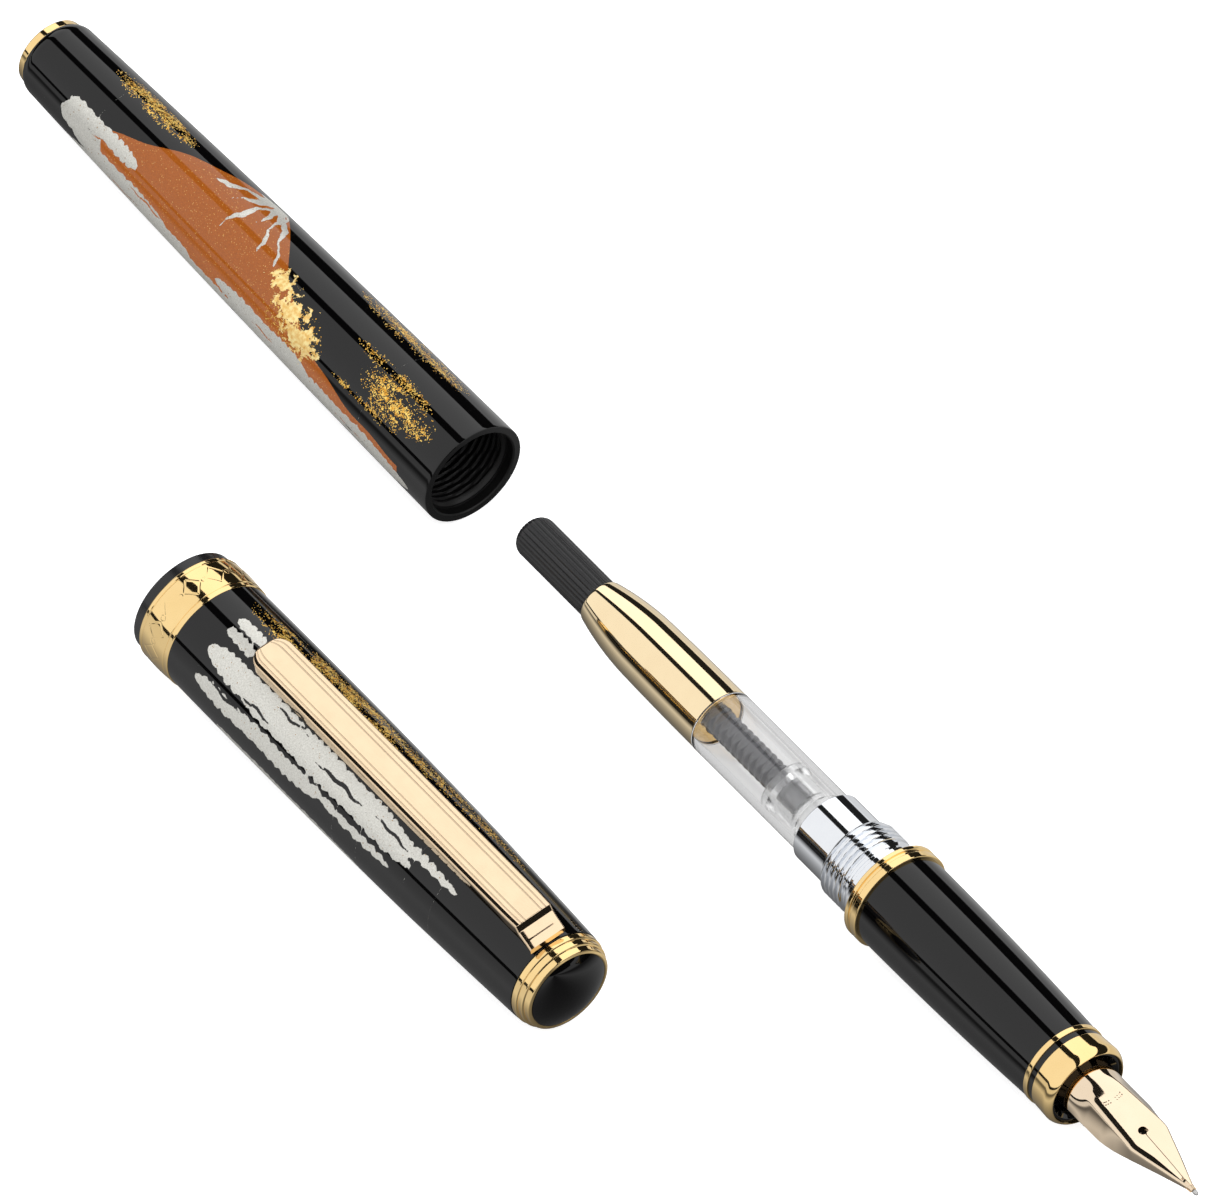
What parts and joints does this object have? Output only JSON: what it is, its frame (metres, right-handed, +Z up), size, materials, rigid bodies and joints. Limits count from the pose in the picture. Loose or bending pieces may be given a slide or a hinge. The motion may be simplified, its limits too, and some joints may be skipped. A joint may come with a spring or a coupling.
{
  "type": "fountain pen",
  "caption": "Cartridge and converter fountain pen taken apart: lacquered barrel, grip section with nib and converter, and clip cap beside it.",
  "frame": {"origin": "centre of the base of the laid-out set's bounding box, on the table the pieces lie on", "axes": "+X along the pen's axis from the barrel's closed end to the nib, +Z up from the table, the cap on the -Y side"},
  "size_m": [0.1956, 0.0472, 0.0152],
  "materials": {
    "black_lacquer": "polished black lacquer, with powdered metal pictures on the barrel and the cap",
    "black_plastic": "moulded, satin",
    "gold_plate": "polished gold plate",
    "brass": "turned",
    "chrome_plate": "polished chrome plate",
    "nib_gold": "polished pale rose gold",
    "tipping_metal": "ground hard alloy",
    "clear_plastic": "clear moulded tube",
    "frosted_plastic": "clear moulded plug",
    "seal_plastic": "translucent soft moulding",
    "grey_plastic": "moulded, dark grey"
  },
  "bodies": {
    "grip_section": {"grip_shell": "black_lacquer", "flange_ring": "gold_plate", "threaded_coupling": "chrome_plate", "feed_housing": "black_plastic", "feed": "black_plastic", "nib": "nib_gold", "nib_tipping": "tipping_metal", "nose_ring": "gold_plate", "nose_spacer": "black_lacquer", "nose_collar": "gold_plate"},
    "barrel": {"barrel_tube": "black_lacquer", "barrel_end_ring": "gold_plate", "barrel_end_plug": "black_lacquer"},
    "cap": {"cap_tube": "black_lacquer", "inner_cap": "black_plastic", "cap_band": "gold_plate", "clip_washer": "gold_plate", "crown_rings": "gold_plate", "finial": "black_lacquer", "finial_nut": "brass"},
    "clip": {"clip": "gold_plate"},
    "converter": {"converter_tube": "clear_plastic", "mouth_plug": "frosted_plastic", "converter_sleeve": "gold_plate", "guide_bush": "gold_plate"},
    "knob": {"converter_knob": "black_plastic"},
    "piston": {"piston_rod": "grey_plastic", "piston_seal": "seal_plastic"}
  },
  "joints": [
    {"name": "barrel_slide", "type": "slide", "parent": "grip_section", "child": "barrel", "axis": [1, 0, 0], "range_m": [0, 0.0707]},
    {"name": "cap_slide", "type": "slide", "parent": "grip_section", "child": "cap", "axis": [1, 0, 0], "range_m": [0, 0.126]},
    {"name": "clip_flex", "type": "hinge", "parent": "cap", "child": "clip", "pos_m": [0.03517, -0.01772, 0.01235], "axis": [0, 0.9903, 0.1392], "range_deg": [0, 4], "stiffness_Nm_per_rad": 2},
    {"name": "converter_slide", "type": "slide", "parent": "grip_section", "child": "converter", "axis": [1, 0, 0], "range_m": [-0.0105, 0]},
    {"name": "knob_turn", "type": "hinge", "parent": "converter", "child": "knob", "pos_m": [-0.00898, 0.01749, 0.00609], "axis": [1, 0, 0], "range_deg": [0, 2775]},
    {"name": "piston_slide", "type": "slide", "parent": "converter", "child": "piston", "axis": [-1, 0, 0], "range_m": [0, 0.0077]}
  ],
  "couplings": [
    {"joint": "knob_turn", "follows": "piston_slide", "rad_per_m": 6283.2}
  ]
}
